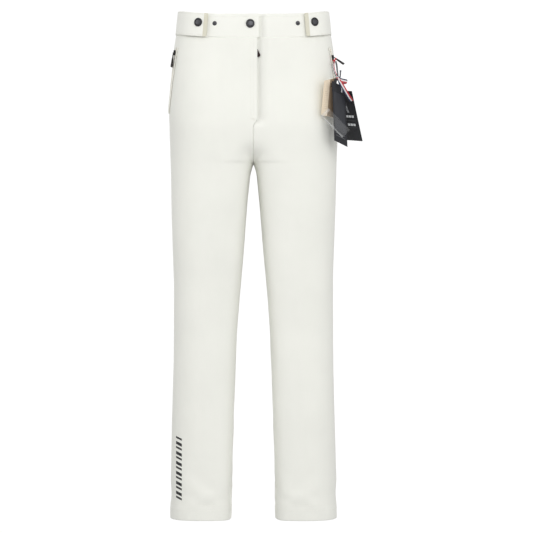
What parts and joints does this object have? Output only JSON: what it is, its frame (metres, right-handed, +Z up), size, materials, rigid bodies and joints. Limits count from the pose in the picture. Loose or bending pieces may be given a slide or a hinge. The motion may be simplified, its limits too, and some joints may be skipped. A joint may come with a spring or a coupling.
{
  "type": "ski pants",
  "caption": "White insulated ski pants with a snap front tab, covered fly zip, side adjuster tabs, zipped hip pockets and hang tags.",
  "frame": {"origin": "middle of the waist opening, level with its sides", "axes": "+Z up along the body, from hem to waist; -Y is the front; +X is the wearer's left"},
  "size_m": [0.3938, 0.2271, 1.0331],
  "materials": {
    "shell_fabric": "matt white laminated weave",
    "lining_fabric": "light grey taffeta",
    "zip_tape": "beige woven tape with a nylon coil",
    "fly_zip_tape": "off-white woven tape with a nylon coil",
    "black_plastic": "moulded, satin",
    "snap_metal": "gunmetal plating",
    "black_card": "matt printed card",
    "cream_card": "uncoated card",
    "clear_film": "clear film",
    "ribbon": "woven ribbon in three colours"
  },
  "bodies": {
    "trousers": {"left_front_panel_upper": "shell_fabric", "left_front_panel_knee": "shell_fabric", "left_back_panel_upper": "shell_fabric", "left_back_panel_knee": "shell_fabric", "left_lining": "lining_fabric", "left_tab_stud": "snap_metal", "left_spare_stud": "snap_metal", "left_pocket_zip": "zip_tape", "left_pocket_bag": "lining_fabric", "right_front_panel_upper": "shell_fabric", "right_front_panel_knee": "shell_fabric", "right_back_panel_upper": "shell_fabric", "right_back_panel_knee": "shell_fabric", "right_lining": "lining_fabric", "right_tab_stud": "snap_metal", "right_spare_stud": "snap_metal", "right_pocket_zip": "zip_tape", "right_pocket_bag": "lining_fabric", "waistband_left": "shell_fabric", "waistband_right": "shell_fabric", "waistband_back": "shell_fabric", "front_tab_stud": "snap_metal", "fly_zip_tape": "fly_zip_tape", "fly_zip_coil": "fly_zip_tape", "fly_shield": "lining_fabric"},
    "left_shin": {"left_front_panel_lower": "shell_fabric", "left_back_panel_lower": "shell_fabric", "left_snow_gaiter": "lining_fabric", "left_scuff_guard": "shell_fabric"},
    "right_shin": {"right_front_panel_lower": "shell_fabric", "right_back_panel_lower": "shell_fabric", "right_snow_gaiter": "lining_fabric", "right_scuff_guard": "shell_fabric"},
    "front_tab_flap": {"front_tab": "shell_fabric", "front_tab_cap": "snap_metal", "front_tab_socket": "snap_metal"},
    "left_tab_strap": {"left_side_tab": "shell_fabric", "left_tab_cap": "snap_metal", "left_tab_socket": "snap_metal"},
    "right_tab_strap": {"right_side_tab": "shell_fabric", "right_tab_cap": "snap_metal", "right_tab_socket": "snap_metal"},
    "fly_runner": {"fly_slider": "black_plastic"},
    "fly_puller": {"fly_pull": "black_plastic"},
    "left_pocket_runner": {"left_pocket_slider": "black_plastic"},
    "left_pocket_puller": {"left_pocket_pull": "black_plastic"},
    "right_pocket_runner": {"right_pocket_slider": "black_plastic"},
    "right_pocket_puller": {"right_pocket_pull": "black_plastic"},
    "tag_bunch": {"cream_tag": "cream_card", "narrow_black_tag": "black_card", "wide_black_tag": "black_card", "clear_sleeve": "clear_film", "tag_ribbon": "ribbon", "tag_pin": "clear_film"}
  },
  "joints": [
    {"name": "left_knee", "type": "hinge", "parent": "trousers", "child": "left_shin", "pos_m": [0.0985, -0.002, -0.65], "axis": [1, 0, 0], "range_deg": [0, 70], "deforming": ["left_front_panel_knee", "left_back_panel_knee", "left_lining"]},
    {"name": "right_knee", "type": "hinge", "parent": "trousers", "child": "right_shin", "pos_m": [-0.0985, -0.002, -0.65], "axis": [1, 0, 0], "range_deg": [0, 70], "deforming": ["right_front_panel_knee", "right_back_panel_knee", "right_lining"]},
    {"name": "front_tab_open", "type": "hinge", "parent": "trousers", "child": "front_tab_flap", "pos_m": [-0.03, -0.0905, -0.036], "axis": [0, 0, -1], "range_deg": [0, 100]},
    {"name": "left_tab_open", "type": "hinge", "parent": "trousers", "child": "left_tab_strap", "pos_m": [0.156, 0.0349, -0.024], "axis": [0, 0, 1], "range_deg": [0, 100]},
    {"name": "right_tab_open", "type": "hinge", "parent": "trousers", "child": "right_tab_strap", "pos_m": [-0.156, 0.0349, -0.024], "axis": [0, 0, -1], "range_deg": [0, 100]},
    {"name": "fly_slide", "type": "slide", "parent": "trousers", "child": "fly_runner", "axis": [0, -0.0825, -0.9966], "range_m": [0, 0.13]},
    {"name": "fly_pull_swing", "type": "hinge", "parent": "fly_runner", "child": "fly_puller", "pos_m": [0.002, -0.08961, -0.07366], "axis": [0, -0.9966, 0.0825], "range_deg": [-38, 5]},
    {"name": "left_pocket_slide", "type": "slide", "parent": "trousers", "child": "left_pocket_runner", "axis": [0.1309, 0.1769, -0.9755], "range_m": [-0.01, 0.1]},
    {"name": "left_pull_flip", "type": "hinge", "parent": "left_pocket_runner", "child": "left_pocket_puller", "pos_m": [0.16311, -0.04304, -0.09635], "axis": [-0.2524, -0.9456, -0.2054], "range_deg": [0, 60]},
    {"name": "right_pocket_slide", "type": "slide", "parent": "trousers", "child": "right_pocket_runner", "axis": [-0.1309, 0.1769, -0.9755], "range_m": [0, 0.11]},
    {"name": "right_pull_flip", "type": "hinge", "parent": "right_pocket_runner", "child": "right_pocket_puller", "pos_m": [-0.1618, -0.04481, -0.0866], "axis": [-0.2524, 0.9456, 0.2054], "range_deg": [0, 150]},
    {"name": "tags_swing", "type": "hinge", "parent": "left_pocket_runner", "child": "tag_bunch", "pos_m": [0.163, -0.048, -0.103], "axis": [-1, 0, 0], "range_deg": [0, 60]}
  ]
}
